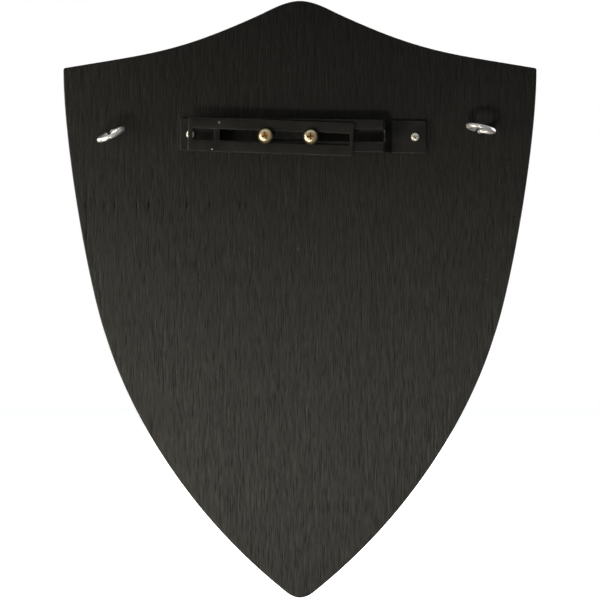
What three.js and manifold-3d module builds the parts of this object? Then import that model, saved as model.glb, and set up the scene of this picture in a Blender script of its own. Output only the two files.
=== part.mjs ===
// A shield-shaped wall plaque: a black-stained board that carries an adjustable clamp and two screw
// eyes on its rear face. Millimetres.
//
// The pieces are modelled as they lie on a bench, with the board face down: x to the right, y up the
// board and z out of its rear face, which is the plane z = 0. The finished group is then stood up, so
// that z out of the rear face becomes -Y and y up the board becomes +Z. The origin is on the rear
// face, on the board's centreline, 2 mm below the level where the screw eyes enter the board.
import * as THREE from "three";
import { mergeVertices } from "three/addons/utils/BufferGeometryUtils.js";
import Module from "manifold-3d";

const wasm = await Module();
wasm.setup();

const GAP = 0.3; // air left between pieces that touch in the real object
const RUNNING = 0.3; // radial room round a screw in a hole it turns or slides in

const BOARD = {
  halfWidth: 140.2,
  peak: 79.4,
  corner: 39.5,
  pointCorner: -277.2, // where the two sides would meet if the point were not rounded
  thickness: 16,
  edgeDepth: 6.5, // how much of the thickness the rounded front edge takes
  edgeWidth: 7,
  edgeStep: 1.2, // the small square step beside the rounding
};
const BRIDGE = {
  x: 1.9,
  y: -0.7,
  tilt: -0.62, // degrees
  length: 145.8,
  width: 19,
  sheet: 2,
  rise: 8, // from a tab's outer face to the raised outer face
  raisedHalf: 47.8,
  rampFootHalf: 52.4,
  cornerRadius: 1.5,
  slotFrom: -49.4, // the slot runs a little into the left ramp
  slotTo: 47.6,
  slotWidth: 7.2,
  screwHoleRadius: 1.7,
};
const PLATE = {
  x: -17.2,
  y: -1.8,
  tilt: -2.1, // degrees
  length: 97.3,
  width: 19.6,
  sheet: 1.6,
  cornerRadius: 0.8,
  slotLength: 92.6,
  slotWidth: 7.1,
  slotShift: 0.3,
};
const CLAMP_SCREW = {
  left: { x: -20.3, y: -1.2, turn: 22 },
  right: { x: 6.3, y: -1.75, turn: 2 },
  headRadius: 4,
  headHeight: 3,
  shankRadius: 2,
  length: 12,
  recessSpan: 4.4,
  recessArm: 1.1,
  recessDepth: 1.7,
};
const WASHER = { radius: 4.75, sheet: 0.8 };
const BAR = { length: 36, width: 13, sheet: 3, cornerRadius: 2 };
const TAB_SCREW = {
  along: { left: -66.8, right: 66.1 }, // from the middle of the bridge
  headRadius: 2.6,
  headHeight: 1.5,
  shankRadius: 1.3,
  length: 13,
  recessSpan: 2.8,
  recessArm: 0.7,
  recessDepth: 0.9,
};
const EYE = {
  left: { x: -111.1, y: 2, turn: 24, lean: -12 },
  right: { x: 106.4, y: 2, turn: -12, lean: 5 },
  ringRadius: 7.6, // to the middle of the wire
  wireRadius: 1.4,
  neck: 3, // from the board to the ring's outside
  shankDepth: 11,
};

const topOf = {
  tab: GAP + BRIDGE.sheet,
  bridge: GAP + BRIDGE.sheet + BRIDGE.rise,
};
topOf.plate = topOf.bridge + GAP + PLATE.sheet;
topOf.washer = topOf.plate + GAP + WASHER.sheet;

const black = new THREE.MeshStandardMaterial({ color: 0x1c1b19, roughness: 0.62, metalness: 0 });
const paint = new THREE.MeshStandardMaterial({ color: 0x1b1b1b, roughness: 0.45, metalness: 0 });
const platePaint = new THREE.MeshStandardMaterial({ color: 0x1e1e1e, roughness: 0.4, metalness: 0 });
const brass = new THREE.MeshStandardMaterial({ color: 0xd9b25a, roughness: 0.28, metalness: 1 });
const darkBrass = new THREE.MeshStandardMaterial({ color: 0x7a6330, roughness: 0.4, metalness: 1 });
const steel = new THREE.MeshStandardMaterial({ color: 0x77787a, roughness: 0.5, metalness: 1 });
const zinc = new THREE.MeshStandardMaterial({ color: 0xb9bcc2, roughness: 0.3, metalness: 1 });

const root = new THREE.Group();
root.name = "plaque";
root.rotation.x = Math.PI / 2;

// ---- booleans ----

function solidOf(geometry) {
  const bare = geometry.clone();
  bare.deleteAttribute("normal");
  bare.deleteAttribute("uv");
  const merged = mergeVertices(bare, 1e-4);
  return new wasm.Manifold(
    new wasm.Mesh({
      numProp: 3,
      vertProperties: merged.attributes.position.array,
      triVerts: new Uint32Array(merged.index.array),
    }),
  );
}

function geometryOf(solid) {
  const mesh = solid.getMesh();
  const geometry = new THREE.BufferGeometry();
  geometry.setAttribute("position", new THREE.BufferAttribute(new Float32Array(mesh.vertProperties), 3));
  geometry.setIndex(new THREE.BufferAttribute(new Uint32Array(mesh.triVerts), 1));
  geometry.computeVertexNormals();
  return geometry;
}

// ---- shared shapes ----

function roundedRectangle(length, width, radius) {
  const [a, b] = [length / 2, width / 2];
  const quarter = Math.PI / 2;
  const shape = new THREE.Shape();
  shape.moveTo(a - radius, -b);
  shape.absarc(a - radius, -b + radius, radius, -quarter, 0, false);
  shape.absarc(a - radius, b - radius, radius, 0, quarter, false);
  shape.absarc(-a + radius, b - radius, radius, quarter, 2 * quarter, false);
  shape.absarc(-a + radius, -b + radius, radius, 2 * quarter, 3 * quarter, false);
  return shape;
}

function rectangularHole(x, length, width) {
  const hole = new THREE.Path();
  hole.moveTo(x - length / 2, -width / 2);
  hole.lineTo(x - length / 2, width / 2);
  hole.lineTo(x + length / 2, width / 2);
  hole.lineTo(x + length / 2, -width / 2);
  hole.closePath();
  return hole;
}

function roundHole(x, y, radius) {
  return new THREE.Path().absarc(x, y, radius, 0, 2 * Math.PI, true);
}

// A flat sheet of the given outline between two heights.
function sheetBetween(shape, low, high, curveSegments = 6) {
  const flat = new THREE.ExtrudeGeometry(shape, { depth: high - low, bevelEnabled: false, curveSegments });
  return flat.translate(0, 0, low);
}

function rodBetween(x, y, radius, low, high, sides = 20) {
  const rod = new THREE.CylinderGeometry(radius, radius, high - low, sides).rotateX(Math.PI / 2);
  return rod.translate(x, y, (low + high) / 2);
}

function add(parent, name, geometry, material) {
  const mesh = new THREE.Mesh(geometry, material);
  mesh.name = name;
  parent.add(mesh);
  return mesh;
}

function placed(x, y, tiltDegrees = 0) {
  const group = new THREE.Group();
  group.position.set(x, y, 0);
  group.rotation.z = THREE.MathUtils.degToRad(tiltDegrees);
  root.add(group);
  return group;
}

// Where a tab screw, "left" or "right", stands on the board.
function tabScrewPlace(side) {
  const turn = THREE.MathUtils.degToRad(BRIDGE.tilt);
  const along = new THREE.Vector2(Math.cos(turn), Math.sin(turn));
  return along.multiplyScalar(TAB_SCREW.along[side]).add(new THREE.Vector2(BRIDGE.x, BRIDGE.y));
}

// ---- board ----

// The heater shield: a soft peak, concave shoulders, square corners and sides that curve in to a
// blunt point. The right half is drawn from the peak to the point and the left half mirrors it.
function shieldOutline() {
  const { halfWidth, peak, corner, pointCorner } = BOARD;
  const half = [
    [[8.8, peak], [18, 73.8], [24.2, 71]],
    [[73.5, 48.6], [88.2, 48.3], [halfWidth, corner]],
    [[halfWidth, -5.2], [125.4, -89.5], [115, -119.3]],
    [[112.6, -126.4], [90.5, -205.3], [7.9, -271]],
  ];
  const shape = new THREE.Shape();
  shape.moveTo(0, peak);
  for (const curve of half) shape.bezierCurveTo(...curve.flat());
  shape.quadraticCurveTo(0, pointCorner, -7.9, -271);
  const ends = [[0, peak], ...half.map((curve) => curve[2])];
  for (let i = half.length - 1; i >= 0; i--) {
    const [first, second] = half[i];
    const [x, y] = ends[i];
    shape.bezierCurveTo(-second[0], second[1], -first[0], first[1], -x, y);
  }
  return shape;
}

function board() {
  const { thickness, edgeDepth, edgeWidth, edgeStep } = BOARD;
  const outline = shieldOutline();
  const rearSlab = sheetBetween(outline, -(thickness - edgeDepth), 0, 12);
  const frontField = new THREE.ExtrudeGeometry(outline, {
    depth: 1,
    bevelThickness: edgeDepth,
    bevelSize: edgeWidth,
    bevelOffset: -edgeWidth - edgeStep,
    bevelSegments: 3,
    curveSegments: 12,
  }).translate(0, 0, -(thickness - edgeDepth));
  let solid = solidOf(rearSlab).add(solidOf(frontField));
  for (const side of ["left", "right"]) {
    const hole = tabScrewPlace(side);
    const depth = TAB_SCREW.length - topOf.tab + 1;
    solid = solid.subtract(solidOf(rodBetween(hole.x, hole.y, TAB_SCREW.shankRadius + RUNNING, -depth, 1)));
  }
  for (const eye of [EYE.left, EYE.right]) {
    const bore = rodBetween(0, 0, EYE.wireRadius + RUNNING, -EYE.shankDepth - 1, 2);
    bore.rotateX(-THREE.MathUtils.degToRad(eye.lean)).translate(eye.x, eye.y, 0);
    solid = solid.subtract(solidOf(bore));
  }
  add(root, "plaque_board", geometryOf(solid), black);
}

// ---- clamp ----

// The strap seen from the side, bent down at both ends to the tabs.
function bridgeSide() {
  const { length, raisedHalf, rampFootHalf, sheet, rise } = BRIDGE;
  const slope = Math.atan2(rise, rampFootHalf - raisedHalf);
  const setback = sheet * Math.tan(slope / 2);
  const right = [
    [length / 2, GAP],
    [length / 2, topOf.tab],
    [rampFootHalf, topOf.tab],
    [raisedHalf, topOf.bridge],
  ];
  const inner = [
    [raisedHalf - setback, topOf.bridge - sheet],
    [rampFootHalf - setback, GAP],
  ];
  const mirrored = (points) => points.map(([x, z]) => [-x, z]).reverse();
  const outline = [...right, ...mirrored(right), ...mirrored(inner), ...inner];
  return new THREE.Shape(outline.map(([x, z]) => new THREE.Vector2(x, z)));
}

function bridgeBracket() {
  const { x, y, tilt, length, width, cornerRadius, slotFrom, slotTo, slotWidth, screwHoleRadius } = BRIDGE;
  const bent = new THREE.ExtrudeGeometry(bridgeSide(), { depth: width, bevelEnabled: false });
  bent.translate(0, 0, -width / 2).rotateX(Math.PI / 2);
  const plan = roundedRectangle(length, width, cornerRadius);
  plan.holes.push(rectangularHole((slotFrom + slotTo) / 2, slotTo - slotFrom, slotWidth));
  for (const along of Object.values(TAB_SCREW.along)) plan.holes.push(roundHole(along, 0, screwHoleRadius));
  const cutter = sheetBetween(plan, -1, topOf.bridge + 1);
  const solid = solidOf(bent).intersect(solidOf(cutter));
  add(placed(x, y, tilt), "bridge_bracket", geometryOf(solid), paint);
}

function slidePlate() {
  const { x, y, tilt, length, width, sheet, cornerRadius, slotLength, slotWidth, slotShift } = PLATE;
  const plan = roundedRectangle(length, width, cornerRadius);
  plan.holes.push(rectangularHole(slotShift, slotLength, slotWidth));
  const flat = sheetBetween(plan, topOf.plate - sheet, topOf.plate);
  add(placed(x, y, tilt), "slide_plate", flat, platePaint);
}

// The tapped bar lies under the raised strap, in line with the two screws.
function clampBar() {
  const { left, right, shankRadius } = CLAMP_SCREW;
  const from = new THREE.Vector2(left.x, left.y);
  const to = new THREE.Vector2(right.x, right.y);
  const middle = from.clone().add(to).multiplyScalar(0.5);
  const tilt = THREE.MathUtils.radToDeg(Math.atan2(to.y - from.y, to.x - from.x));
  const plan = roundedRectangle(BAR.length, BAR.width, BAR.cornerRadius);
  const reach = from.distanceTo(to) / 2;
  for (const side of [-1, 1]) plan.holes.push(roundHole(side * reach, 0, shankRadius + RUNNING));
  const top = topOf.bridge - BRIDGE.sheet - GAP;
  add(placed(middle.x, middle.y, tilt), "clamp_bar", sheetBetween(plan, top - BAR.sheet, top), steel);
}

// The cross in a screw's head, cut down from the head's top.
function crossRecess(screw, top) {
  const { recessSpan, recessArm, recessDepth } = screw;
  const arm = (length, width) =>
    solidOf(new THREE.BoxGeometry(length, width, 2 * recessDepth).translate(0, 0, top));
  return arm(recessSpan, recessArm).add(arm(recessArm, recessSpan));
}

// A pan-head screw along z, its head's underside at the given height.
function panHeadScrew(screw, seat) {
  const { headRadius, headHeight, shankRadius, length } = screw;
  const profile = new THREE.Path();
  profile.moveTo(0, seat - length);
  profile.lineTo(shankRadius * 0.7, seat - length);
  profile.lineTo(shankRadius, seat - length + shankRadius * 0.3);
  profile.lineTo(shankRadius, seat);
  profile.lineTo(headRadius, seat);
  profile.lineTo(headRadius, seat + headHeight * 0.4);
  profile.quadraticCurveTo(headRadius * 0.85, seat + headHeight, headRadius * 0.35, seat + headHeight);
  profile.lineTo(0, seat + headHeight);
  const points = profile.getPoints(4);
  const turned = new THREE.LatheGeometry(points, 20).rotateX(Math.PI / 2);
  return geometryOf(solidOf(turned).subtract(crossRecess(screw, seat + headHeight)));
}

function clampScrew(side) {
  const screw = CLAMP_SCREW[side];
  const at = placed(screw.x, screw.y);
  const plan = new THREE.Shape().absarc(0, 0, WASHER.radius, 0, 2 * Math.PI, false);
  plan.holes.push(roundHole(0, 0, CLAMP_SCREW.shankRadius + RUNNING));
  const ring = sheetBetween(plan, topOf.washer - WASHER.sheet, topOf.washer, 20);
  add(at, `clamp_washer_${side}`, ring, darkBrass);
  const made = add(at, `clamp_screw_${side}`, panHeadScrew(CLAMP_SCREW, topOf.washer + GAP), brass);
  made.rotation.z = THREE.MathUtils.degToRad(screw.turn);
}

function tabScrew(side) {
  const at = tabScrewPlace(side);
  add(placed(at.x, at.y), `tab_screw_${side}`, panHeadScrew(TAB_SCREW, topOf.tab + GAP), zinc);
}

// ---- screw eyes ----

function screwEye(side) {
  const { ringRadius, wireRadius, neck, shankDepth } = EYE;
  const eye = EYE[side];
  const centre = neck + wireRadius + ringRadius;
  const ring = new THREE.TorusGeometry(ringRadius, wireRadius, 10, 32).rotateX(Math.PI / 2);
  ring.translate(0, 0, centre);
  const shank = rodBetween(0, 0, wireRadius, -shankDepth, neck + wireRadius, 12);
  const at = placed(eye.x, eye.y);
  const leaning = new THREE.Group();
  leaning.rotation.x = -THREE.MathUtils.degToRad(eye.lean);
  at.add(leaning);
  const made = add(leaning, `screw_eye_${side}`, geometryOf(solidOf(ring).add(solidOf(shank))), zinc);
  made.rotation.z = THREE.MathUtils.degToRad(eye.turn);
}

board();
bridgeBracket();
slidePlate();
clampBar();
clampScrew("left");
clampScrew("right");
tabScrew("left");
tabScrew("right");
screwEye("left");
screwEye("right");

export default root;
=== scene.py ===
"""A shield-shaped wall plaque seen from its rear: a black-stained board with an adjustable clamp and
two screw eyes.

Shapes are worked out in millimetres as the plaque lies on a bench, face down: x to the right, y up
the board and h out of its rear face. as_piece() turns them into the frame's metres, where the plaque
stands up: h out of the rear face is -Y and y up the board is +Z.
"""
import math

import bpy
import numpy as np
from mathutils import Matrix, Vector, geometry


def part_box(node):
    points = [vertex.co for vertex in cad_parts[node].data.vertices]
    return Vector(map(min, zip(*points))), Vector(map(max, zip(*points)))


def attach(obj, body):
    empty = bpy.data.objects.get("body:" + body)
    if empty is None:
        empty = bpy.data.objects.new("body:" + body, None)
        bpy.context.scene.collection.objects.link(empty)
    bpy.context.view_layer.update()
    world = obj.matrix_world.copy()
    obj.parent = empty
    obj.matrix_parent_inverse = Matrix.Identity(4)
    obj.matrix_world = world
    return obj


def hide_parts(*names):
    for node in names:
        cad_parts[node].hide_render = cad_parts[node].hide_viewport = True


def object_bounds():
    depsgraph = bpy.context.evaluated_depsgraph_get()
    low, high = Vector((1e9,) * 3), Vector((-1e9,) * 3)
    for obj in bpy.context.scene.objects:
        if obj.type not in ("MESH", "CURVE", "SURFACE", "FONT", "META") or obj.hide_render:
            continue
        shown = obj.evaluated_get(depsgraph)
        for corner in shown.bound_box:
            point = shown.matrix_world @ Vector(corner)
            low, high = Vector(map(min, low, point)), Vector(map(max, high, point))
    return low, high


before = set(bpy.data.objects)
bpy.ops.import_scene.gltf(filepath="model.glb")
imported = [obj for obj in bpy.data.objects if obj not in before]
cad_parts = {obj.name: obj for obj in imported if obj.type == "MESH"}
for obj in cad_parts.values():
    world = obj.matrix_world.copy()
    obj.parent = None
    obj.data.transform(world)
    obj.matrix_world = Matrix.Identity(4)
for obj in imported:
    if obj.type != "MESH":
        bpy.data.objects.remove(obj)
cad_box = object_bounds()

MM = 0.001
TURN = 2 * math.pi  # a full turn in radians


def node_box(node):
    """Lowest and highest (x, y, h) of a CAD node, in bench millimetres."""
    (x0, y0, z0), (x1, y1, z1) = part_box(node)
    return np.array([x0, z0, -y1]) / MM, np.array([x1, z1, -y0]) / MM


def heights(node):
    """The lowest and highest h of a CAD node."""
    low, high = node_box(node)
    return low[2], high[2]


# ---- sizes, in bench millimetres and degrees ----

GAP = 0.3  # air that the CAD solids leave where the real pieces touch
CLOSE = 0.03  # air left here instead

BOARD_LOW, BOARD_HIGH = node_box("plaque_board")
HALF_WIDTH = BOARD_HIGH[0]
PEAK = BOARD_HIGH[1]
THICKNESS = -BOARD_LOW[2]
SHOULDER = 39.5  # height of the two square corners
POINT = (7.9, -271.0)  # where the right side meets the rounded point
POINT_CONTROL = -277.2  # where the two sides would meet without the rounding
CORNER_EASE = 1.3  # how far the rounding of a square corner reaches along its sides
REAR_ARRIS = 0.8  # rounding of the rear edge
EDGE_DEPTH, EDGE_WIDTH, EDGE_STEP = 6.5, 7.0, 1.2  # the rounded front edge and the step beside it

BRIDGE = dict(x=1.9, y=-0.7, tilt=-0.62, length=145.8, width=19.0, corner=1.5)
SHEET, RISE = 2.0, 8.0
TAB_TOP = SHEET + GAP  # how far out the faces of its tabs lie
RAISED_HALF, FOOT_HALF = 47.8, 52.4  # half lengths of its raised part and of the ramps' feet
BRIDGE_SLOT = (-49.4, 47.6, 3.6)  # its left end, right end and half width
TAB_SCREWS = {"left": (-66.8, 35), "right": (66.1, 20)}  # from the middle of the bridge, and turn
TAB_HOLE = 1.7  # radius of a tab's hole
TAB_BORE, TAB_BORE_DEPTH = 1.45, 12.5  # the hole below it in the board
TAB_SCREW = dict(head=2.42, shank=1.35, pitch=0.9, recess=(1.3, 0.32, 0.9))  # as CLAMP_SCREW below

PLATE = dict(x=-17.2, y=-1.8, tilt=-2.1, length=97.3, width=19.6, corner=0.8)
PLATE_SLOT = (46.3, 3.55)  # its half length and half width
PLATE_SLOT_SHIFT = 0.3
SPECKS = ((-30.6, 7.3, 0.75, 0.35), (-34.3, -8.6, 0.5, 1.0))  # chips in its paint: x, y, radius, how bare

CLAMP_PLACES = {"left": (-20.3, -1.2, 22), "right": (6.3, -1.75, 2)}  # x, y and turn
# radii of head and shank, and the recess's arm length, half arm width and depth
CLAMP_SCREW = dict(head=4.0, shank=2.0, pitch=0.7, recess=(2.2, 0.55, 1.7))
WASHER_RADIUS, WASHER_BORE = 4.75, 2.25
BAR = dict(length=36.0, width=13.0, corner=2.0, bore=2.2)

EYE_PLACES = {"left": (-111.1, 2.0, 24, -12), "right": (106.4, 2.0, -12, 5)}  # x, y, turn and lean
EYE_RING, EYE_WIRE = 7.59, 1.4  # radius of the ring's middle line and of the wire
EYE_CENTRE, EYE_DEPTH = 12.0, 11.0  # height of the ring's centre and depth of the shank
EYE_BEND = 2.5  # radius of the bend between shank and ring
EYE_OPENING = 23.5  # angle by which the ring stops short of a full turn
EYE_PITCH = 1.3  # of its thread


# ---- noise on a fixed lattice ----


class Streaks:
    """Smooth random values from 0 to 1, in cells that are `wide` across the grain and `long` along it."""

    def __init__(self, seed, wide, long, size=512):
        self.table = np.random.default_rng(seed).random((size, size))
        self.wide, self.long, self.size = wide, long, size

    def __call__(self, x, y):
        u, v = np.asarray(x) / self.wide + 1000, np.asarray(y) / self.long + 1000
        i, j = np.floor(u).astype(int), np.floor(v).astype(int)
        s, t = u - i, v - j
        s, t = s * s * (3 - 2 * s), t * t * (3 - 2 * t)
        at = lambda a, b: self.table[(i + a) % self.size, (j + b) % self.size]
        low = at(0, 0) * (1 - s) + at(1, 0) * s
        high = at(0, 1) * (1 - s) + at(1, 1) * s
        return low * (1 - t) + high * t


# ---- plan loops: arrays of (x, y) with the material on their left ----


def moved_in(loop, distance):
    """The loop moved into the material by a distance, which may differ from point to point."""
    ahead = np.roll(loop, -1, 0) - loop
    ahead /= np.linalg.norm(ahead, axis=1)[:, None]
    normal = np.stack([-ahead[:, 1], ahead[:, 0]], 1)
    behind = np.roll(normal, 1, 0)
    mitre = (normal + behind) / (1 + (normal * behind).sum(1))[:, None]
    return loop + mitre * np.reshape(distance, (-1, 1))


def rectangle(half_length, half_width, radius, stations, centre=0.0):
    """A rounded rectangle, anticlockwise, with points at the stations along its long sides."""
    a, b = half_length - radius, half_width - radius
    points = []
    inner = [s for s in stations if -a < s < a]
    step = 1.5  # about the distance between points across its ends
    across = np.linspace(-b, b, max(2, int(2 * b / step)) + 1)[1:-1]
    for k, (cx, cy) in enumerate(((a, -b), (a, b), (-a, b), (-a, -b))):
        start = (k - 1) * TURN / 4
        for t in np.linspace(0, TURN / 4, 6):
            points.append((cx + radius * math.cos(start + t), cy + radius * math.sin(start + t)))
        if k == 0:
            points += [(half_length, y) for y in across]
        elif k == 1:
            points += [(x, half_width) for x in reversed(inner)]
        elif k == 2:
            points += [(-half_length, y) for y in across[::-1]]
        else:
            points += [(x, -half_width) for x in inner]
    loop = np.array(points)
    loop[:, 0] += centre
    return loop


def circle(x, y, radius, sides):
    """A circle, anticlockwise."""
    angle = np.arange(sides) * TURN / sides
    return np.stack([x + radius * np.cos(angle), y + radius * np.sin(angle)], 1)


def inside(points, loop):
    """Which points lie inside a loop."""
    x, y = points[:, :1], points[:, 1:]
    x0, y0 = loop.T
    x1, y1 = np.roll(loop, -1, 0).T
    crosses = (y0 > y) != (y1 > y)
    with np.errstate(divide="ignore", invalid="ignore"):
        where = x0 + (y - y0) * (x1 - x0) / (y1 - y0)
    return (np.sum(crosses & (x < where), 1) % 2).astype(bool)


def joined(loop_sizes):
    """The edges round each of several loops whose points follow one another."""
    edges, first = [], 0
    for n in loop_sizes:
        edges += [(first + i, first + (i + 1) % n) for i in range(n)]
        first += n
    return edges


def triangulated(points, edges):
    """The triangles of a constrained triangulation, as rows of point numbers."""
    made = geometry.delaunay_2d_cdt([Vector(p) for p in points.tolist()], edges, [], 0, 1e-7)
    found, sources = made[2], [ids[0] for ids in made[3]]
    faces = np.array([[sources[i] for i in face] for face in found])
    a, b, c = (points[faces[:, i]] for i in range(3))
    area = (b[:, 0] - a[:, 0]) * (c[:, 1] - a[:, 1]) - (b[:, 1] - a[:, 1]) * (c[:, 0] - a[:, 0])
    faces[area < 0] = faces[area < 0][:, ::-1]
    return faces[np.abs(area) > 1e-9]


def filled(loops, inner):
    """All points of the loops and the inner ones, and the triangles between the loops."""
    points = np.vstack([*loops, inner]) if len(inner) else np.vstack(loops)
    faces = triangulated(points, joined([len(loop) for loop in loops]))
    middle = points[faces].mean(1)
    keep = inside(middle, loops[0])
    for hole in loops[1:]:
        keep &= ~inside(middle, hole)
    return points, faces[keep]


def gridded(loops, wide, long):
    """As filled(), for a large face: a regular grid in the middle and a stitched band at each loop."""
    low, high = loops[0].min(0), loops[0].max(0)
    xs = np.arange(low[0] + 0.5 * wide, high[0], wide)
    ys = np.arange(low[1] + 0.5 * long, high[1], long)
    border = moved_in(loops[0], 0.9 * wide)
    x0, y0 = border.T
    x1, y1 = np.roll(border, -1, 0).T
    good = np.zeros((len(xs), len(ys)), bool)
    for j, y in enumerate(ys):
        cut = (y0 > y) != (y1 > y)
        marks = np.sort(x0[cut] + (y - y0[cut]) * (x1[cut] - x0[cut]) / (y1[cut] - y0[cut]))
        good[:, j] = np.searchsorted(marks, xs) % 2 == 1
    px, py = np.meshgrid(xs, ys, indexing="ij")
    for hole in loops[1:]:
        centre = hole.mean(0)
        reach = np.abs(hole - centre).max() + 0.7 * wide
        good &= np.hypot(px - centre[0], py - centre[1]) > reach
    cell = good[:-1, :-1] & good[1:, :-1] & good[:-1, 1:] & good[1:, 1:]
    for hole in loops[1:]:  # a cell that a hole lies wholly inside
        i, j = ((hole.mean(0) - (xs[0], ys[0])) / (wide, long)).astype(int)
        cell[i - 1 : i + 2, j - 1 : j + 2] = False

    start = sum(len(loop) for loop in loops)
    used = np.zeros_like(good)
    for a in (slice(None, -1), slice(1, None)):
        for b in (slice(None, -1), slice(1, None)):
            used[a, b] |= cell
    number = np.full(good.shape, -1)
    number[used] = start + np.arange(used.sum())
    points = np.vstack([*loops, np.stack([px[used], py[used]], 1)])
    i, j = np.nonzero(cell)
    quads = np.stack([number[i, j], number[i + 1, j], number[i + 1, j + 1], number[i, j + 1]], 1)
    sides = np.vstack([quads[:, [k, (k + 1) % 4]] for k in range(4)])
    ordered = np.sort(sides, 1)
    unique, count = np.unique(ordered, axis=0, return_counts=True)
    rim = unique[count == 1]
    rim_points = np.unique(rim)
    local = {int(p): start + k for k, p in enumerate(rim_points)}
    band = np.vstack([points[:start], points[rim_points]])
    edges = joined([len(loop) for loop in loops]) + [(local[int(a)], local[int(b)]) for a, b in rim]
    faces = triangulated(band, edges)
    middle = band[faces].mean(1)
    keep = inside(middle, loops[0])
    for hole in loops[1:]:
        keep &= ~inside(middle, hole)
    ci = np.floor((middle[:, 0] - xs[0]) / wide).astype(int)
    cj = np.floor((middle[:, 1] - ys[0]) / long).astype(int)
    on_grid = (ci >= 0) & (cj >= 0) & (ci < cell.shape[0]) & (cj < cell.shape[1])
    keep[on_grid] &= ~cell[ci[on_grid], cj[on_grid]]
    back = np.concatenate([np.arange(start), rim_points])
    return points, back[faces[keep]].tolist() + quads.tolist()


class Solid:
    """Points and faces gathered into one closed mesh."""

    def __init__(self):
        self.points, self.faces, self.count = [], [], 0

    def add(self, points):
        """Adds points of (x, y, h) and gives their numbers."""
        first, self.count = self.count, self.count + len(points)
        self.points.append(np.asarray(points, float))
        return np.arange(first, self.count)

    def ring(self, loop, h):
        """Adds a plan loop at a height, which may differ from point to point."""
        return self.add(np.column_stack([loop, np.broadcast_to(h, len(loop))]))

    def strip(self, low, high):
        """Faces between two closed rows of points. With anticlockwise rows the outside is outwards."""
        n = len(low)
        for i in range(n):
            k = (i + 1) % n
            self.faces.append((low[i], low[k], high[k], high[i]))

    def fill(self, faces, numbers, up=True):
        """Faces over plan points that already have numbers."""
        for face in faces:
            row = [numbers[i] for i in face]
            self.faces.append(tuple(row if up else row[::-1]))

    def fan(self, ring, centre, up=True):
        """Triangles from a ring to a middle point."""
        n = len(ring)
        for i in range(n):
            a, b = ring[i], ring[(i + 1) % n]
            self.faces.append((a, b, centre) if up else (b, a, centre))

    def turned(self, matrix):
        """Moves all points by a 4x4 matrix."""
        m = np.array(matrix)
        self.points = [np.vstack(self.points) @ m[:3, :3].T + m[:3, 3]]
        return self


def as_piece(solid, name, body, node, material, sharp, marks=None):
    """Makes the Blender object, in the frame's metres, standing for a CAD node.

    Edges that turn by more than `sharp` degrees stay crisp. marks are values that its material reads.
    """
    bench = np.vstack(solid.points)
    points = np.stack([bench[:, 0], -bench[:, 2], bench[:, 1]], 1) * MM
    mesh = bpy.data.meshes.new(name)
    mesh.from_pydata(points.tolist(), [], [[int(i) for i in f] for f in solid.faces])
    mesh.validate()
    mesh.shade_smooth()
    mesh.set_sharp_from_angle(angle=math.radians(sharp))
    for label, values in (marks or {}).items():
        layer = mesh.attributes.new(label, "FLOAT", "POINT")
        layer.data.foreach_set("value", np.asarray(values, np.float32))
    mesh.materials.append(material)
    piece = bpy.data.objects.new(name, mesh)
    bpy.context.collection.objects.link(piece)
    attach(piece, body)
    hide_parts(node)
    return piece


def placed(x, y, turn=0.0, lean=0.0):
    """The matrix that turns a shape about h, leans it about x and moves it to (x, y)."""
    spin = Matrix.Rotation(math.radians(turn), 4, "Z")
    tip = Matrix.Rotation(-math.radians(lean), 4, "X")
    return Matrix.Translation((x, y, 0)) @ tip @ spin


def bridge_point(along, across=0.0):
    """Where a point of the bridge lies on the board."""
    turn = math.radians(BRIDGE["tilt"])
    x = BRIDGE["x"] + along * math.cos(turn) - across * math.sin(turn)
    return x, BRIDGE["y"] + along * math.sin(turn) + across * math.cos(turn)


# ---- materials ----


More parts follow.
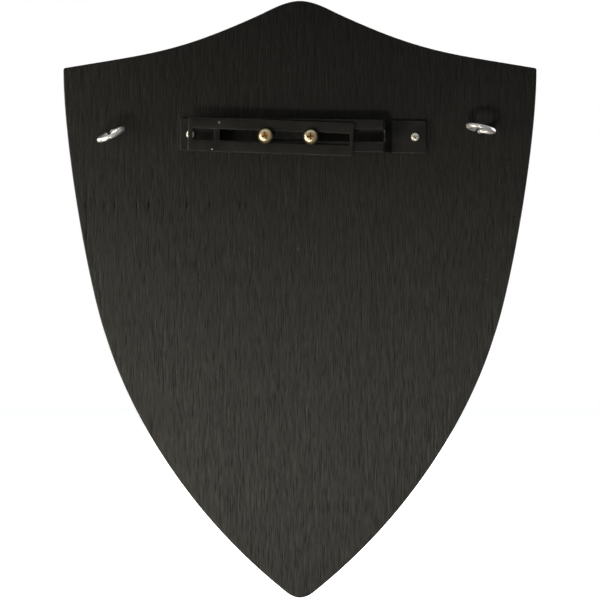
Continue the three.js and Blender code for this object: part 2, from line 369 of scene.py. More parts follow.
class Nodes:
    """A material's nodes, with short ways to add and join them."""

    def __init__(self, name):
        self.material = bpy.data.materials.new(name)
        self.material.use_nodes = True
        self.tree = self.material.node_tree
        self.shader = self.tree.nodes["Principled BSDF"]

    def node(self, kind, **settings):
        """Adds a node of a kind, with the given settings."""
        made = self.tree.nodes.new("ShaderNode" + kind)
        for key, value in settings.items():
            setattr(made, key, value)
        return made

    def feed(self, socket, value):
        """Joins an output to a socket, or sets the socket's own value."""
        if isinstance(value, bpy.types.NodeSocket):
            self.tree.links.new(value, socket)
        else:
            socket.default_value = value

    def set(self, **values):
        """Feeds the shader's own sockets, named with _ where they have a space."""
        for key, value in values.items():
            self.feed(self.shader.inputs[key.replace("_", " ")], value)
        return self

    def place(self, stretch):
        """The frame's coordinates, divided by a size in millimetres along each of X, Y and Z."""
        mapping = self.node("Mapping")
        mapping.inputs["Scale"].default_value = [1 / (s * MM) for s in stretch]
        self.feed(mapping.inputs["Vector"], self.node("TexCoord").outputs["Object"])
        return mapping.outputs["Vector"]

    def noise(self, stretch, detail, roughness, distortion=0.0):
        """Noise whose cells have about the size `stretch`, in millimetres along X, Y and Z."""
        made = self.node("TexNoise")
        self.feed(made.inputs["Vector"], self.place(stretch))
        made.inputs["Scale"].default_value = 1.0
        made.inputs["Detail"].default_value = detail
        made.inputs["Roughness"].default_value = roughness
        made.inputs["Distortion"].default_value = distortion
        return made.outputs["Fac"]

    def ramp(self, value, *stops):
        """A value turned into colours or greys at the given stops."""
        made = self.node("ValToRGB")
        self.feed(made.inputs["Fac"], value)
        elements = made.color_ramp.elements
        while len(elements) < len(stops):
            elements.new(0.5)
        for element, (at, colour) in zip(elements, stops):
            element.position = at
            element.color = (*colour, 1) if isinstance(colour, tuple) else (colour,) * 3 + (1,)
        return made.outputs["Color"]

    def spread(self, value, low, high, to_low, to_high):
        """A value moved from one range to another."""
        made = self.node("MapRange")
        for key, v in zip(("Value", "From Min", "From Max", "To Min", "To Max"),
                          (value, low, high, to_low, to_high)):
            self.feed(made.inputs[key], v)
        return made.outputs["Result"]

    def math(self, operation, a, b=0.0, clamp=False):
        made = self.node("Math", operation=operation, use_clamp=clamp)
        self.feed(made.inputs[0], a)
        self.feed(made.inputs[1], b)
        return made.outputs[0]

    def mix(self, factor, a, b, blend="MIX"):
        """Two colours mixed by a factor."""
        made = self.node("Mix", data_type="RGBA", blend_type=blend)
        self.feed(made.inputs[0], factor)
        for socket, value in ((made.inputs[6], a), (made.inputs[7], b)):
            self.feed(socket, (*value, 1) if isinstance(value, tuple) else value)
        return made.outputs[2]

    def attribute(self, name):
        return self.node("Attribute", attribute_name=name).outputs["Fac"]

    def bump(self, height, depth, strength, under=None):
        """A normal for a height whose range stands for `depth` millimetres, over another normal."""
        made = self.node("Bump")
        made.inputs["Strength"].default_value = strength
        made.inputs["Distance"].default_value = depth * MM
        self.feed(made.inputs["Height"], height)
        if under is not None:
            self.feed(made.inputs["Normal"], under)
        return made.outputs["Normal"]


def stained_wood():
    """Open-pored wood under a thin black stain, its grain along Z."""
    m = Nodes("black_stained_wood")
    streak = m.noise((1.1, 1.6, 16), 4, 0.6)
    fibre = m.noise((0.45, 0.5, 6), 3, 0.6)
    cloud = m.noise((26, 26, 60), 3, 0.5)
    pores = m.noise((0.55, 0.8, 9), 2, 0.5, 0.2)
    pore = m.ramp(pores, (0.52, 0.0), (0.66, 1.0))
    tone = m.math("ADD", m.math("MULTIPLY", streak, 0.55), m.math("MULTIPLY", fibre, 0.45))
    base = m.ramp(tone, (0.36, (0.0045, 0.0044, 0.004)), (0.5, (0.0105, 0.0102, 0.0094)),
                  (0.64, (0.024, 0.0232, 0.0212)))
    base = m.mix(m.spread(cloud, 0.3, 0.7, 0.0, 0.4), base, (0.62, 0.6, 0.6), "MULTIPLY")
    base = m.mix(m.math("MULTIPLY", pore, 0.6), base, (0.005, 0.0048, 0.0045))
    # painted shade: the finger joint's open gaps and the screw holes are darkened and made dull here; the
    # weaker glue line is a real dark joint
    shade_in_gaps_and_glue_line = m.attribute("shade_in_gaps_and_glue_line")
    base = m.mix(shade_in_gaps_and_glue_line, base, (0.0012, 0.0011, 0.001))
    rough = m.math("ADD", m.spread(tone, 0.3, 0.7, 0.52, 0.4), m.math("MULTIPLY", pore, 0.2))
    low = m.bump(tone, 0.11, 0.8)
    normal = m.bump(m.math("SUBTRACT", 1.0, pore), 0.08, 0.8, low)
    dull = m.math("MAXIMUM", shade_in_gaps_and_glue_line, m.math("MULTIPLY", pore, 0.42))
    shine = m.spread(dull, 0.0, 1.0, 0.33, 0.0)
    return m.set(Base_Color=base, Roughness=rough, Normal=normal, Specular_IOR_Level=shine).material


def black_paint(name, colour, roughness, peel_size):
    """Satin black paint over stamped steel, with a fine orange peel, rubbed edges and chips."""
    m = Nodes(name)
    peel = m.noise((peel_size, peel_size, peel_size), 3, 0.6)
    cloud = m.noise((11, 11, 7), 4, 0.55)
    dust = m.noise((0.35, 0.35, 0.35), 2, 0.5)
    lighter = tuple(c * 1.7 for c in colour)
    base = m.mix(m.spread(cloud, 0.35, 0.7, 0, 1), colour, lighter)
    speck = m.ramp(dust, (0.70, 0.0), (0.76, 1.0))
    base = m.mix(m.math("MULTIPLY", speck, 0.35), base, (0.12, 0.115, 0.105))
    rub = m.attribute("edge")
    worn = m.math("MULTIPLY", rub, m.spread(m.noise((3, 3, 3), 4, 0.65), 0.4, 0.62, 0.25, 1), clamp=True)
    base = m.mix(m.math("MULTIPLY", worn, 0.55), base, (0.085, 0.08, 0.075))
    base = m.mix(m.attribute("chip"), base, (0.75, 0.74, 0.7))
    rough = m.spread(cloud, 0.3, 0.7, roughness - 0.05, roughness + 0.08)
    return m.set(Base_Color=base, Roughness=rough, Normal=m.bump(peel, 0.03, 0.5),
                 Specular_IOR_Level=0.25).material


def plated(name, bright, dull, roughness, stain=None, metallic=1.0):
    """A plated metal with fine turning marks, a cloudy tint and, where stain is given, a second colour at
    marked points: painted shade in a screw's recess, round its rim and on its shank, and the real bare
    steel of a screw eye's cut end.

    A satin plating scatters light, so it is less than wholly metallic.
    """
    m = Nodes(name)
    cloud = m.noise((2.2, 2.2, 2.2), 4, 0.6)
    fine = m.noise((0.22, 0.22, 0.22), 3, 0.6)
    base = m.mix(m.spread(cloud, 0.35, 0.65, 0, 1), bright, dull)
    # the stain colour is painted shade in screw recesses, their rims and shanks, and real bare steel at a
    # screw eye's cut end
    if stain:
        base = m.mix(m.attribute("recess_shade_and_bare_end"), base, stain)
    rough = m.spread(fine, 0.3, 0.7, roughness - 0.06, roughness + 0.1)
    normal = m.bump(fine, 0.02, 0.35)
    return m.set(Base_Color=base, Metallic=metallic, Roughness=rough, Normal=normal).material


def shaded_bar_steel():
    """Mill-finished steel bar, with its drawing marks along X. Its near-black colour is painted shade: it
    stands for the dark seen under the bridge through the slots.
    """
    m = Nodes("bar_steel")
    drawn = m.noise((14, 0.3, 0.3), 3, 0.6)
    cloud = m.noise((5, 5, 5), 4, 0.6)
    base = m.mix(m.spread(cloud, 0.35, 0.7, 0, 1), (0.035, 0.036, 0.04), (0.018, 0.018, 0.02))
    return m.set(Base_Color=base, Metallic=1.0, Roughness=m.spread(drawn, 0.3, 0.7, 0.4, 0.58),
                 Normal=m.bump(drawn, 0.03, 0.4)).material


WOOD = stained_wood()
BRIDGE_PAINT = black_paint("bracket_paint", (0.0105, 0.0103, 0.01), 0.42, 0.7)
PLATE_PAINT = black_paint("plate_paint", (0.0118, 0.0112, 0.0104), 0.4, 0.8)
# each screw's third colour is painted shade for its recess, rim and shank; the screw eyes' third colour is
# the bare steel of the wire's cut end
BRASS = plated("clamp_screw_brass", (1.0, 0.92, 0.64), (0.98, 0.84, 0.5), 0.32, (0.6, 0.28, 0.06), 0.8)
# the washers' brass is darkened as painted shade under the screw heads
SHADED_WASHER_BRASS = plated("clamp_washer_brass_painted_shade", (0.1, 0.075, 0.035), (0.045, 0.035, 0.02), 0.42)
EYE_ZINC = plated("zinc_plate", (0.93, 0.93, 0.92), (0.78, 0.79, 0.8), 0.34, (0.2, 0.21, 0.23), 0.6)
TAB_ZINC = plated("tab_screw_zinc", (1.0, 0.97, 0.9), (0.92, 0.89, 0.82), 0.36, (0.3, 0.27, 0.22), 0.25)
# near black as painted shade under the bridge
SHADED_BAR_STEEL = shaded_bar_steel()


# ---- board ----


def bezier(points, t):
    """The points at each t, from 0 to 1, of a Bezier curve with three or four control points."""
    p = [np.array(q, float) for q in points]
    t = t[:, None]
    if len(p) == 3:
        return (1 - t) ** 2 * p[0] + 2 * t * (1 - t) * p[1] + t**2 * p[2]
    return (1 - t) ** 3 * p[0] + 3 * t * (1 - t) ** 2 * p[1] + 3 * t**2 * (1 - t) * p[2] + t**3 * p[3]


def spaced(path, count):
    """The path's points moved to equal distances along it."""
    step = np.concatenate([[0], np.cumsum(np.linalg.norm(np.diff(path, axis=0), axis=1))])
    even = np.linspace(0, step[-1], count)
    return np.stack([np.interp(even, step, path[:, k]) for k in (0, 1)], 1)


def shield_runs():
    """The top of the shield from its right corner to its left one, and the sides from left to right."""
    t = np.linspace(0, 1, 400)
    corner = (HALF_WIDTH, SHOULDER)
    top = [
        bezier([(0, PEAK), (8.8, PEAK), (18, 73.8), (24.2, 71)], t),
        bezier([(24.2, 71), (73.5, 48.6), (88.2, 48.3), corner], t),
    ]
    tip = (POINT[1] + POINT_CONTROL) / 2
    side = [
        bezier([corner, (HALF_WIDTH, -5.2), (125.4, -89.5), (115, -119.3)], t),
        bezier([(115, -119.3), (112.6, -126.4), (90.5, -205.3), POINT], t),
        bezier([POINT, (POINT[0] * 0.5, tip), (0, tip)], t),
    ]
    right_top, right_side = np.vstack(top), np.vstack(side)
    mirror = np.array([-1, 1])
    over = np.vstack([right_top[::-1], right_top * mirror])
    under = np.vstack([right_side * mirror, right_side[::-1]])
    return over, under


RUNS = [spaced(run, 2400) for run in shield_runs()]  # worked out finely
RUN_COUNTS = (200, 460)  # points that a loop keeps of each run
RUN_END = 120  # a run's first points, among which it may cross the other one once moved


def distance_to(points, path):
    """The least distance from each point to a dense path."""
    return np.array([np.hypot(*(path - p).T).min() for p in points])


def shield_loop(inset):
    """The shield's outline moved inwards, with its two square corners eased."""
    parts = []
    for run, other, count in zip(RUNS, RUNS[::-1], RUN_COUNTS):
        ahead = np.gradient(run, axis=0)
        ahead /= np.linalg.norm(ahead, axis=1)[:, None]
        moved = run + inset * np.stack([-ahead[:, 1], ahead[:, 0]], 1)
        if inset > 0.01:
            for _ in range(2):
                near = distance_to(moved[:RUN_END], other)
                first = int(np.argmax(near >= inset))
                moved = moved[first:][::-1]
        parts.append(spaced(moved, count)[:-1])
    loop = np.vstack(parts)
    reach = max(CORNER_EASE - 0.6 * inset, 0.25)
    steps = 3  # points on each side of a corner that its rounding moves
    unit = lambda v: v / np.linalg.norm(v)
    for k in (0, len(parts[0])):
        corner = loop[k].copy()
        before, after = loop[k - steps - 1].copy(), loop[(k + steps + 1) % len(loop)].copy()
        a, b = corner + unit(before - corner) * reach, corner + unit(after - corner) * reach
        arc = bezier([a, corner, b], np.linspace(0, 1, 2 * steps + 1))
        for i in range(-steps, steps + 1):
            loop[(k + i) % len(loop)] = arc[i + steps]
    return loop


NICK_ROW = (-43.3, -39.7)  # lower and upper end of the finger joint's open tips
NICKS = (-126.7, -115.4, -109.5, -96.5, -89.4, -66.9, -53.3, -35.5, -32.0, -14.5)  # x of each tip
NICK_SHARES = (0.7, 0.45, 1.0, 0.6, 1.0, 1.0, 0.8, 0.7, 0.65, 0.4)  # how open each one is
NICK_HALF, NICK_DEPTH = 0.42, 0.7  # half width and depth of an open tip
GLUE_LINE = (-126.2, -76.0, -20.0)  # x, and its lower and upper end
GLUE_HALF, GLUE_FADE = 0.5, 12  # half width, and the length over which each end fades

fine_grain = Streaks(11, 1.2, 9)
broad_grain = Streaks(12, 2.7, 34)
wide_wave = Streaks(13, 14, 90)
open_pores = Streaks(14, 0.9, 12)


def relief(x, y):
    """How deep the sanded grain lies under the face, in millimetres."""
    pore = np.clip((open_pores(x, y) - 0.66) / 0.2, 0, 1)
    return 0.045 * fine_grain(x, y) + 0.05 * broad_grain(x, y) + 0.09 * wide_wave(x, y) + 0.11 * pore


def nick_mask(x, y):
    """How much of the finger joint's gaps and glue line shows at a point, from 0 to 1. Both are sunk into
    the face by it; the wood darkens the gaps by it as painted shade and the glue line as a real dark joint.
    """
    low, high = NICK_ROW
    middle, half = (low + high) / 2, (high - low) / 2
    along = np.clip(1.5 - np.abs(y - middle) / half, 0, 1)
    mask = np.zeros(len(x))
    for at, share in zip(NICKS, NICK_SHARES):
        mask = np.maximum(mask, share * along * np.clip(1.5 - np.abs(x - at) / NICK_HALF, 0, 1))
    at, low, high = GLUE_LINE
    fade = np.clip(np.minimum(y - low, high - y) / GLUE_FADE, 0, 1)
    line = np.clip(1.2 - np.abs(x - at) / GLUE_HALF, 0, 1) * fade
    return np.maximum(mask, 0.3 * line)


def board():
    """The board: a fine grained rear face, a rounded arris, the moulded front edge and the front face."""
    made = Solid()
    gap_shade_and_glue_marks = []

    def ring(inset, h, rough=0.0):
        """The outline at a height, with saw marks up to `rough` deep."""
        loop = shield_loop(inset)
        if rough:
            wave = fine_grain(loop[:, 0] * 1.3 + 50, loop[:, 1] * 1.3 + h * 4)
            loop = moved_in(loop, rough * wave)
        gap_shade_and_glue_marks.append(np.zeros(len(loop)))
        return made.ring(loop, h)

    def face(loops, rings, spacing, h_at, up, marked):
        """A large face between rings that already stand, its points spaced across and along the grain."""
        points, faces = gridded(loops, *spacing)
        known = sum(len(loop) for loop in loops)
        rest = points[known:]
        numbers = np.concatenate([*rings, made.ring(rest, h_at(rest[:, 0], rest[:, 1]))])
        gap_shade_and_glue_marks.append(nick_mask(rest[:, 0], rest[:, 1]) if marked else np.zeros(len(rest)))
        made.fill(faces, numbers, up)

    # rear face, with a blind hole for each screw and screw eye
    rear = shield_loop(REAR_ARRIS + 0.1)
    rear_ring = made.ring(rear, -relief(rear[:, 0], rear[:, 1]))
    gap_shade_and_glue_marks.append(nick_mask(rear[:, 0], rear[:, 1]))
    holes = [(*bridge_point(along), TAB_BORE, TAB_BORE_DEPTH) for along, _ in TAB_SCREWS.values()]
    holes += [(x, y, EYE_WIRE + 0.12, EYE_DEPTH + 0.6) for x, y, _, _ in EYE_PLACES.values()]
    loops, rings = [rear], [rear_ring]
    sides = 20
    for x, y, radius, depth in holes:
        mouth = circle(x, y, radius + 0.25, sides)
        top = made.ring(mouth, -relief(mouth[:, 0], mouth[:, 1]) - 0.02)
        wall = made.ring(circle(x, y, radius, sides), -0.4)
        foot = made.ring(circle(x, y, radius, sides), -depth)
        end = made.add([(x, y, -depth - 0.6)])
        made.strip(top, wall)
        made.strip(wall, foot)
        made.fan(foot, end[0])
        loops.append(mouth)
        rings.append(top)
        # the mouth and inside of each hole are marked to be darkened as painted shade
        gap_shade_and_glue_marks += [np.full(sides, 0.4), np.full(2 * sides + 1, 1.0)]
    h_rear = lambda x, y: -relief(x, y) - NICK_DEPTH * nick_mask(x, y)
    face(loops, rings, (0.6, 2.4), h_rear, up=True, marked=True)

    # the arris, the side and the moulded front edge
    rows = [rear_ring]
    for a in np.radians((18, 36, 54, 72, 90)):
        rows.append(ring(REAR_ARRIS * (1 - math.sin(a)), -REAR_ARRIS * (1 - math.cos(a)) - 0.05))
    flat = THICKNESS - EDGE_DEPTH
    for depth in np.arange(2.2, flat - 0.6, 1.4):
        rows.append(ring(0, -depth, rough=0.09))
    rows.append(ring(0, -(flat - 0.35)))
    rows.append(ring(0.1, -(flat - 0.08)))
    rows.append(ring(0.35, -flat))
    rows.append(ring(EDGE_STEP - 0.12, -flat - 0.02))
    for a in np.radians(np.linspace(90, 0, 10)):
        rows.append(ring(EDGE_STEP + EDGE_WIDTH * (1 - math.sin(a)), -flat - EDGE_DEPTH * math.cos(a)))
    for low, high in zip(rows[1:], rows):
        made.strip(low, high)

    # front face, sanded finer
    inner = shield_loop(EDGE_STEP + EDGE_WIDTH)
    h_front = lambda x, y: -THICKNESS + 0.35 * relief(x + 300, y + 70)
    face([inner], [rows[-1]], (1.3, 5.2), h_front, up=False, marked=False)
    return as_piece(made, "board", "board", "plaque_board", WOOD, 40,
                    {"shade_in_gaps_and_glue_line": np.concatenate(gap_shade_and_glue_marks)})


# ---- sheet metal ----


def eased(points, radii):
    """A polyline in x and h with its inner corners rounded, as one array of x and one of h."""
    path = [np.array(points[0], float)]
    for before, at, after, radius in zip(points, points[1:], points[2:], radii):
        before, at, after = (np.array(p, float) for p in (before, at, after))
        a, b = before - at, after - at
        a, b = a / np.linalg.norm(a), b / np.linalg.norm(b)
        half = math.acos(np.clip(np.dot(a, b), -1, 1)) / 2
        reach = radius / math.tan(half)
        path += list(bezier([at + a * reach, at, at + b * reach], np.linspace(0, 1, 7)))
    path.append(np.array(points[-1], float))
    return np.array(path).T


def sheet(loops, top, bottom, ease, inner):
    """A sheet with eased edges, and how much of an edge each of its points is.

    top and bottom give a face's height at an x, ease each loop's bevel on the top, and inner the points
    between the loops.
    """
    made, edge = Solid(), []
    arcs = np.radians((0, 30, 60, 90))
    low_bevel = 0.3
    top_loops, top_rings, low_loops, low_rings = [], [], [], []
    for loop, bevel in zip(loops, ease):
        bevel = np.broadcast_to(bevel, len(loop)).astype(float)
        rows, plans = [], []
        for a in arcs:
            plans.append(moved_in(loop, bevel * (1 - math.sin(a))))
            rows.append(made.ring(plans[-1], top(plans[-1][:, 0]) - bevel * (1 - math.cos(a))))
            edge.append(np.full(len(loop), 0.0 if a == 0 else 1.0))
        for a in arcs[::-1]:
            plans.append(moved_in(loop, np.minimum(bevel, low_bevel) * (1 - math.sin(a))))
            rows.append(made.ring(plans[-1], bottom(plans[-1][:, 0]) + low_bevel * (1 - math.cos(a))))
            edge.append(np.full(len(loop), 0.0 if a == 0 else 0.6))
        for high, low in zip(rows, rows[1:]):
            made.strip(low, high)
        top_loops.append(plans[0])
        top_rings.append(rows[0])
        low_loops.append(plans[-1])
        low_rings.append(rows[-1])
    for plan, rings, h_at, up in ((top_loops, top_rings, top, True), (low_loops, low_rings, bottom, False)):
        points, faces = filled(plan, inner)
        rest = points[sum(len(p) for p in plan) :]
        numbers = np.concatenate([*rings, made.ring(rest, h_at(rest[:, 0]))])
        edge.append(np.zeros(len(rest)))
        made.fill(faces, numbers, up)
    return made, np.concatenate(edge)


def bridge_bracket():
    """The strap, bent down at both ends to its tabs, with the clamp slot in its raised part."""
    half_length, half_width = BRIDGE["length"] / 2, BRIDGE["width"] / 2
    raised_top = TAB_TOP + RISE
    slope = math.atan2(RISE, FOOT_HALF - RAISED_HALF)
    setback = SHEET * math.tan(slope / 2)
    end = half_length + 5
    upper = eased([(0, raised_top), (RAISED_HALF, raised_top), (FOOT_HALF, TAB_TOP), (end, TAB_TOP)],
                  (2.6, 1.2))
    lower = eased([(0, raised_top - SHEET), (RAISED_HALF - setback, raised_top - SHEET),
                   (FOOT_HALF - setback, CLOSE), (end, CLOSE)], (1.0, 3.0))
    top = lambda x: np.interp(np.abs(x), *upper)
    bottom = lambda x: np.interp(np.abs(x), *lower)

    # stations along the strap: close together at the bends
    bends = np.concatenate([upper[0][1:-1], lower[0][1:-1], np.linspace(49, 51.5, 5)])
    half = np.unique(np.round(np.concatenate([bends, np.arange(0, half_length, 2.5)]), 3))
    stations = np.concatenate([-half[::-1], half[half > 0]])
    stations = stations[np.concatenate([[True], np.diff(stations) > 0.12])]

    # its outline, the slot with a rough right end, and the two screw holes
    outer = rectangle(half_length, half_width, BRIDGE["corner"], stations)
    slot_left, slot_right, slot_half = BRIDGE_SLOT
    middle = (slot_left + slot_right) / 2
    slot = rectangle((slot_right - slot_left) / 2, slot_half, 0.5, stations - middle, middle)[::-1]
    rough = Streaks(31, 0.5, 0.9)
    at_end = np.clip((slot[:, 0] - slot_right + 0.6) / 0.4, 0, 1)
    slot_ease = 0.25 + at_end * (0.35 + 0.8 * rough(slot[:, 1] * 3, slot[:, 1] * 2))
    loops, ease = [outer, slot], [0.35, slot_ease]
    for along, _ in TAB_SCREWS.values():
        loops.append(circle(along, 0, TAB_HOLE, 24)[::-1])
        ease.append(0.2)

    # points of the faces, clear of the slot and the holes
    rows = (-8.6, -7.2, -5.8, -2.6, 0, 2.6, 5.8, 7.2, 8.6)
    grid = np.array([(x, y) for x in stations for y in rows if abs(x) < half_length - 1.2])
    free = (grid[:, 0] <= slot_left - 1.6) | (grid[:, 0] >= slot_right + 1.6)
    free |= np.abs(grid[:, 1]) >= slot_half + 1.0
    for along, _ in TAB_SCREWS.values():
        free &= np.hypot(grid[:, 0] - along, grid[:, 1]) >= TAB_HOLE + 0.7
    made, edge = sheet(loops, top, bottom, ease, grid[free])
    made.turned(placed(BRIDGE["x"], BRIDGE["y"], BRIDGE["tilt"]))
    return as_piece(made, "bridge", "board", "bridge_bracket", BRIDGE_PAINT, 30,
                    {"edge": edge})


def slide_plate():
    """The flat plate with its own slot, lying over the bridge."""
    low, high = heights("slide_plate")
    stations = np.arange(-46, 47, 2.5)
    outer = rectangle(PLATE["length"] / 2, PLATE["width"] / 2, PLATE["corner"], stations)
    slot = rectangle(*PLATE_SLOT, 0.4, stations, PLATE_SLOT_SHIFT)[::-1]
    grid = np.array([(x, y) for x in stations for y in (-8.4, -6.6, -5, 5, 6.6, 8.4)])
    far = np.ones(len(grid), bool)
    rounds = []
    for x, y, radius, _ in SPECKS:
        far &= np.hypot(grid[:, 0] - x, grid[:, 1] - y) > radius * 1.7
        rounds.append([(x, y)])
        rounds += [circle(x, y, radius * share, sides) for share, sides in ((0.5, 10), (1, 14), (1.25, 16))]
    grid = np.vstack([grid[far], *rounds])
    bow = lambda x: 0.05 * np.cos(x / PLATE["length"] * math.pi) ** 2
    top = lambda x: high - 0.05 + bow(x)
    bottom = lambda x: np.full(len(x), low - GAP + CLOSE)
    made, edge = sheet([outer, slot], top, bottom, [0.32, 0.22], grid)
    flat = np.vstack(made.points)
    chip = np.zeros(len(flat))
    for x, y, radius, bare in SPECKS:
        away = np.hypot(flat[:, 0] - x, flat[:, 1] - y) / radius
        chip = np.maximum(chip, bare * np.clip(1.2 - away, 0, 1) * (flat[:, 2] > (low + high) / 2))
    made.turned(placed(PLATE["x"], PLATE["y"], PLATE["tilt"]))
    return as_piece(made, "slide_plate_cover", "slide_plate", "slide_plate", PLATE_PAINT, 30,
                    {"edge": edge, "chip": chip})


def clamp_bar():
    """The tapped bar under the bridge, in line with the two clamp screws."""
    (xl, yl, _), (xr, yr, _) = CLAMP_PLACES.values()
    low, high = heights("clamp_bar")
    reach = math.hypot(xr - xl, yr - yl) / 2
    stations = np.arange(-15, 16, 2.5)
    outer = rectangle(BAR["length"] / 2, BAR["width"] / 2, BAR["corner"], stations)
    holes = [circle(side * reach, 0, BAR["bore"], 32)[::-1] for side in (-1, 1)]
    grid = np.array([(x, y) for x in stations for y in (-4.5, 4.5)])
    top = lambda x: np.full(len(x), high + GAP - CLOSE)
    bottom = lambda x: np.full(len(x), low)
    made, _ = sheet([outer, *holes], top, bottom, [0.4, 0.3, 0.3], grid)
    made.turned(placed((xl + xr) / 2, (yl + yr) / 2, math.degrees(math.atan2(yr - yl, xr - xl))))
    return as_piece(made, "tapped_bar", "clamp_bar", "clamp_bar", SHADED_BAR_STEEL, 30)


# ---- round pieces ----


def washer(side):
    """A flat washer, very slightly dished and eased at its edges. Its brass is painted far darker than the
    screws' brass, as painted shade under the heads.
    """
    x, y, _ = CLAMP_PLACES[side]
    low, high = heights(f"clamp_washer_{side}")
    low = low - GAP + CLOSE
    made = Solid()
    outer, bore, ease = WASHER_RADIUS, WASHER_BORE, 0.16
    profile = [(bore + ease, high), (3.3, high), (outer - ease, high - 0.03), (outer - 0.05, high - 0.07),
               (outer, high - 0.2), (outer, low + 0.15), (outer - 0.15, low), (bore + 0.1, low),
               (bore, low + 0.1), (bore, high - 0.12)]
    rings = [made.ring(circle(0, 0, r, 64), h) for r, h in profile]
    for high_ring, low_ring in zip(rings, rings[1:] + rings[:1]):
        made.strip(low_ring, high_ring)
    made.turned(placed(x, y))
    return as_piece(made, f"washer_{side}_ring", f"washer_{side}", f"clamp_washer_{side}",
                    SHADED_WASHER_BRASS, 40)


def cross_loop(span, arm, notch):
    """A cross-recess outline, anticlockwise: arms of half length span and half width arm."""
    quarter = [(span, -arm * 0.8), (span + arm * 0.12, 0), (span, arm * 0.8), (span * 0.72, arm),
               (arm + notch, arm), (arm + notch * 0.3, arm + notch * 0.3), (arm, arm + notch),
               (arm, span * 0.72)]
    points = []
    for k in range(4):
        c, s = round(math.cos(k * TURN / 4)), round(math.sin(k * TURN / 4))
        points += [(c * x - s * y, s * x + c * y) for x, y in quarter]
    return np.array(points)


def pan_head_screw(name, body, node, material, place, seat, size):
    """A cross-recess pan-head screw with a right-hand thread. Its head rests at the height `seat`."""
    low, high = heights(node)
    head, shank, pitch = size["head"], size["shank"], size["pitch"]
    span, arm, depth = size["recess"]
    rise = high - seat
    sides = 48
    made, recess_shade_and_bare_end = Solid(), []

    # the marks set on its points darken the recess, its rim and the shank in the material: painted shade
    def ring(r, h, mark=0.0):
        recess_shade_and_bare_end.append(np.full(sides, mark))
        return made.ring(circle(0, 0, 1, sides) * np.reshape(r, (-1, 1)), h)

    # the threaded shank, from its tip to the seat
    angle = np.arange(sides) / sides
    tip = made.add([(0, 0, low)])
    recess_shade_and_bare_end.append(np.zeros(1))
    rows = [ring(shank * 0.55, low)]
    root = shank - 0.55 * pitch
    for h in np.arange(low + 0.1, seat - 0.35, pitch / 7):
        phase = (h / pitch - angle) % 1
        crest = np.clip(1 - np.abs(phase - 0.5) / 0.42, 0, 0.85) / 0.85
        grow = min(1, 0.35 + (h - low) / 1.2) * min(1, max(0, (seat - 0.2 - h) / 0.6))
        r = root + (shank - root) * crest * grow
        rows.append(ring(np.minimum(r, shank * (0.6 + (h - low) / 1.5)), h, 0.3))

    # the head, up to the ring round its recess
    rows += [ring(root, seat - 0.2), ring(shank * 1.1, seat), ring(head - 0.15, seat),
             ring(head, seat + 0.14), ring(head, seat + rise * 0.38)]
    dome = bezier([(head, rise * 0.4), (head * 0.96, rise), (head * 0.35, rise)], np.linspace(0, 1, 9))
    on_dome = [p for p in dome[1:] if p[0] > span * 1.18]
    rows += [ring(r, seat + h) for r, h in on_dome]
    for low_ring, high_ring in zip(rows, rows[1:]):
        made.strip(low_ring, high_ring)
    made.fan(rows[0], tip[0], up=False)

    # the face round the recess
    order = np.argsort(dome[:, 0])
    dome_at = lambda r: seat + np.interp(r, dome[order, 0], dome[order, 1])
    mouth = cross_loop(span, arm, arm * 0.55)
    mouth_ring = made.ring(mouth, dome_at(np.hypot(*mouth.T)))
    recess_shade_and_bare_end.append(np.full(len(mouth), 0.35))
    last = circle(0, 0, on_dome[-1][0], sides)
    points, faces = filled([last, mouth[::-1]], circle(0, 0, span * 1.08, 24))
    rest = points[sides + len(mouth) :]
    filler = made.ring(rest, dome_at(np.hypot(*rest.T)))
    recess_shade_and_bare_end.append(np.zeros(len(rest)))
    made.fill(faces, np.concatenate([rows[-1], mouth_ring[::-1], filler]))

    # the recess
    inner, top = mouth_ring, seat + rise
    for share, down, mark in ((0.93, 0.12, 0.8), (0.8, 0.5, 1), (0.62, 0.85, 1)):
        loop = cross_loop(span * share, arm * (0.55 + 0.45 * share), arm * 0.5)
        lower = made.ring(loop, top - depth * down)
        recess_shade_and_bare_end.append(np.full(len(loop), mark))
        made.strip(inner, lower)
        inner = lower
    middle = made.add([(0, 0, top - depth)])
    recess_shade_and_bare_end.append(np.ones(1))
    made.fan(inner, middle[0])
    made.turned(placed(*place))
    return as_piece(made, name, body, node, material, 32, {"recess_shade_and_bare_end": np.concatenate(recess_shade_and_bare_end)})


def clamp_screw(side):
    """A brass machine screw, seated on its washer."""
    seat = heights(f"clamp_washer_{side}")[1] + CLOSE
    return pan_head_screw(f"brass_screw_{side}", f"screw_{side}", f"clamp_screw_{side}",
                          BRASS, CLAMP_PLACES[side], seat, CLAMP_SCREW)


def tab_screw(side):
    """A small wood screw, seated on a tab of the bridge."""
    along, turn = TAB_SCREWS[side]
    return pan_head_screw(f"wood_screw_{side}", "board", f"tab_screw_{side}", TAB_ZINC,
                          (*bridge_point(along), turn), TAB_TOP + CLOSE, TAB_SCREW)


def eye_path():
    """The wire's middle line from the shank's tip to the cut end: rows of u, h and heading."""
    neck = math.asin(EYE_BEND / (EYE_RING + EYE_BEND))
    straight_top = EYE_CENTRE - (EYE_RING + EYE_BEND) * math.cos(neck)
    shank = [(0, h, TURN / 4) for h in np.arange(-EYE_DEPTH, straight_top - 0.05, 0.16)]
    bend = [(EYE_BEND - EYE_BEND * math.sin(b), straight_top + EYE_BEND * math.cos(b), b)
            for b in np.linspace(TURN / 4, neck, 12)]
    ring = [(EYE_RING * math.sin(a), EYE_CENTRE - EYE_RING * math.cos(a), a)
            for a in np.linspace(neck, TURN - math.radians(EYE_OPENING), 96)[1:]]
    return np.array(shank + bend + ring)


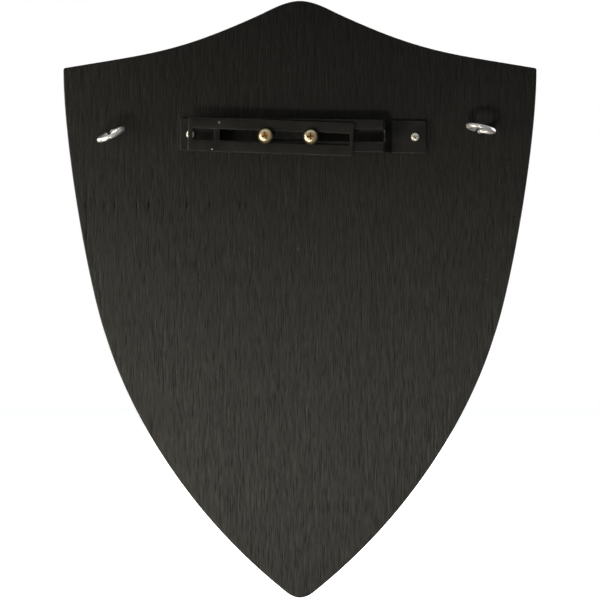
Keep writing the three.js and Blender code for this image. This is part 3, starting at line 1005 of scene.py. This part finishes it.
def screw_eye(side):
    """A screw eye bent from one wire: threaded shank, bend, ring and a cut end close to the neck."""
    x, y, turn, lean = EYE_PLACES[side]
    sides = 24
    angle = np.arange(sides) * TURN / sides
    made, recess_shade_and_bare_end, rows = Solid(), [], []

    def section(u, h, b, radius, mark):
        """A ring of points round the wire where it heads along b."""
        out = radius * np.cos(angle)
        rows.append(made.add(np.stack([u - math.sin(b) * out, radius * np.sin(angle),
                                       h + math.cos(b) * out], 1)))
        recess_shade_and_bare_end.append(np.full(sides, mark))

    path = eye_path()
    for u, h, b in path:
        radius = EYE_WIRE
        if h < 0.9:  # the threaded part
            phase = (h / EYE_PITCH - angle / TURN) % 1
            crest = np.clip(1 - np.abs(phase - 0.5) / 0.3, 0, 1)
            radius = (0.98 + 0.4 * crest) * min(1, (h + EYE_DEPTH) / 3.5 + 0.15)
        section(u, h, b, radius, 0.0)

    # the wire's cut end, slightly chamfered
    u, h, b = path[-1]
    ahead = lambda step: (u + math.cos(b) * step, h + math.sin(b) * step)
    for step, share in ((0.1, 0.93), (0.16, 0.8)):
        section(*ahead(step), b, EYE_WIRE * share, 0.5)
    for first, second in zip(rows, rows[1:]):
        made.strip(second, first)
    end_u, end_h = ahead(0.15)
    end = made.add([(end_u, 0, end_h)])
    start = made.add([(0, 0, -EYE_DEPTH)])
    recess_shade_and_bare_end += [np.full(1, 0.6), np.zeros(1)]
    made.fan(rows[-1], end[0], up=False)
    made.fan(rows[0], start[0])
    made.turned(placed(x, y, turn, lean))
    return as_piece(made, f"eye_{side}", "board", f"screw_eye_{side}", EYE_ZINC, 40,
                    {"recess_shade_and_bare_end": np.concatenate(recess_shade_and_bare_end)})


board()
bridge_bracket()
slide_plate()
clamp_bar()
for which in ("left", "right"):
    washer(which)
    clamp_screw(which)
    screw_eye(which)
for which in ("left", "right"):
    tab_screw(which)


# ---- floor, light and camera, in metres and degrees ----

AIM = (0, 0, -0.1)  # about the middle of the board
ROOM_DIM, ROOM_TOP = 0.036, 0.45  # the room's brightness level with the plaque and overhead
CAMERA_PLACE = (0, -1.8, -0.0978)
LENS = 182.4  # millimetres, for a picture 36 mm wide


def floor():
    """A plain pale floor just under the plaque's point, which neither shades nor colours it."""
    disc = Solid()
    inner = disc.ring(circle(0, 0, 300, 64), 0)
    middle = disc.add([(0, 0, 0)])
    disc.fan(inner, middle[0])
    outer = disc.ring(circle(0, 0, 3200, 64), 0)
    disc.strip(outer, inner)
    points = np.vstack(disc.points) * MM + (0, 0, cad_box[0].z - MM)
    mesh = bpy.data.meshes.new("floor")
    mesh.from_pydata(points.tolist(), [], [[int(i) for i in f] for f in disc.faces])
    m = Nodes("floor_white")
    tone = m.noise((300, 300, 300), 2, 0.5)
    m.set(Base_Color=m.ramp(tone, (0.3, 0.86), (0.7, 0.88)), Roughness=0.9,
          Emission_Color=(1, 1, 1, 1), Emission_Strength=0.72)
    mesh.materials.append(m.material)
    made = bpy.data.objects.new("floor", mesh)
    made.visible_diffuse = made.visible_glossy = made.visible_shadow = False
    bpy.context.collection.objects.link(made)


def softbox(name, place, aim, width, height, power, colour=(1, 1, 1), spread=180):
    """A rectangular lamp that faces a point and that no camera sees. A grid may narrow its spread."""
    lamp = bpy.data.lights.new(name, "AREA")
    lamp.shape = "RECTANGLE"
    lamp.size, lamp.size_y, lamp.energy, lamp.color = width, height, power, colour
    lamp.spread = math.radians(spread)
    made = bpy.data.objects.new(name, lamp)
    made.location = place
    made.rotation_euler = (Vector(aim) - Vector(place)).to_track_quat("-Z", "Y").to_euler()
    made.visible_camera = False
    bpy.context.collection.objects.link(made)


def studio():
    """A white room as the camera sees it, which lights the plaque only dimly and mostly from above."""
    world = bpy.data.worlds.new("studio")
    bpy.context.scene.world = world
    world.use_nodes = True
    tree = world.node_tree
    new, join = tree.nodes.new, tree.links.new
    split, rise = new("ShaderNodeSeparateXYZ"), new("ShaderNodeMapRange")
    join(new("ShaderNodeTexCoord").outputs["Generated"], split.inputs[0])
    rise.interpolation_type = "SMOOTHSTEP"
    join(split.outputs["Z"], rise.inputs["Value"])
    for key, value in (("From Min", 0.25), ("From Max", 0.85), ("To Min", ROOM_DIM), ("To Max", ROOM_TOP)):
        rise.inputs[key].default_value = value
    room, white = tree.nodes["Background"], new("ShaderNodeBackground")
    room.inputs["Color"].default_value = (0.95, 0.97, 1, 1)
    join(rise.outputs["Result"], room.inputs["Strength"])
    white.inputs["Color"].default_value = (1, 1, 1, 1)
    path, mix = new("ShaderNodeLightPath"), new("ShaderNodeMixShader")
    join(path.outputs["Is Camera Ray"], mix.inputs[0])
    join(room.outputs[0], mix.inputs[1])
    join(white.outputs[0], mix.inputs[2])
    join(mix.outputs[0], tree.nodes["World Output"].inputs["Surface"])


def camera():
    """A long lens that looks square on at the rear face."""
    made = bpy.data.cameras.new("camera")
    made.lens, made.sensor_width = LENS, 36
    eye = bpy.data.objects.new("camera", made)
    eye.location = CAMERA_PLACE
    eye.rotation_euler = (TURN / 4, 0, 0)
    bpy.context.collection.objects.link(eye)
    bpy.context.scene.camera = eye


floor()
studio()
softbox("key", (-0.4, -1.05, -0.72), (-0.13, 0, -0.19), 0.85, 0.2, 0.67, (1, 0.95, 0.83), 20)
softbox("left", (-0.44, -0.24, -0.2), (-0.1, 0, -0.12), 0.3, 0.5, 2.6, (1, 0.92, 0.78))
softbox("front_of_shield", (0.9, 1.6, 0.7), AIM, 1.2, 1.0, 48)
softbox("right_edge", (1.5, 0.75, 0.25), AIM, 0.5, 1.2, 22)
softbox("left_edge", (-1.5, 0.75, 0.25), AIM, 0.5, 1.2, 22)
camera()
bpy.context.scene.view_settings.view_transform = "Standard"
